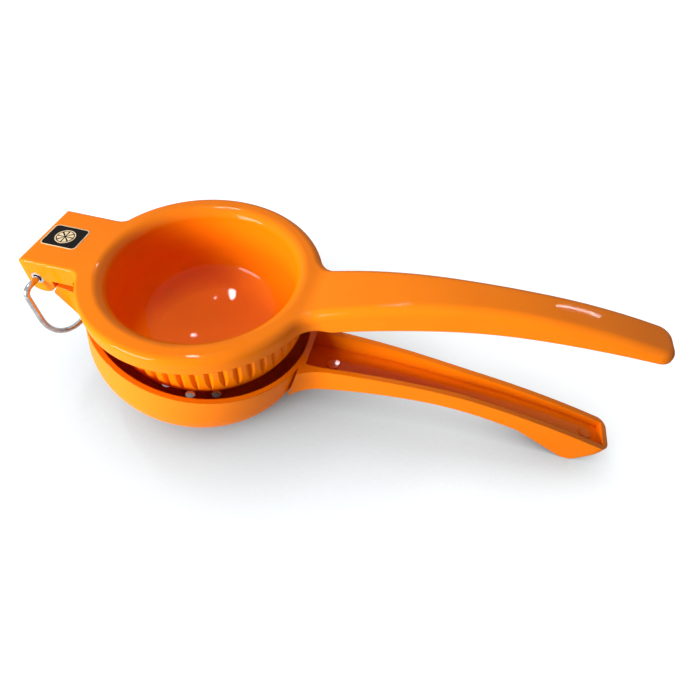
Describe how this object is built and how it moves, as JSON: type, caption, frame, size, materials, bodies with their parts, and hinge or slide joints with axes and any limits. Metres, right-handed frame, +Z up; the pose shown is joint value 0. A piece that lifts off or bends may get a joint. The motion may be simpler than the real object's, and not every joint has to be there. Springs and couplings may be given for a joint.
{
  "type": "hinged citrus squeezer",
  "caption": "Hand citrus squeezer: two hinged cast levers, a fluted press cup over a strainer bowl, long channel handles and a wire hanging loop",
  "frame": {"origin": "centre of the small standing flat on the underside of the strainer bowl", "axes": "+X runs from the hinge to the handle tips along the ground, +Y to the left of the handles, +Z up; the bowl and the foot of the lower handle stand on z = 0"},
  "size_m": [0.2602, 0.1, 0.0828],
  "materials": {
    "press_enamel": "cast aluminium with gloss orange enamel",
    "bowl_enamel": "cast aluminium with gloss orange enamel",
    "pin_steel": "drawn steel tube",
    "loop_chrome": "bright plated wire"
  },
  "bodies": {
    "bowl": {"bowl_lever": "bowl_enamel"},
    "press": {"press_lever": "press_enamel", "hinge_pin": "pin_steel"},
    "loop": {"hanging_loop": "loop_chrome"}
  },
  "joints": [
    {"name": "press_hinge", "type": "hinge", "parent": "bowl", "child": "press", "pos_m": [-0.08581, 0, 0.06213], "axis": [0, -1, 0], "range_deg": [-12.9, 106.4]},
    {"name": "loop_swing", "type": "hinge", "parent": "bowl", "child": "loop", "pos_m": [-0.08581, 0, 0.06213], "axis": [0, -1, 0], "range_deg": [-110, 20]}
  ]
}
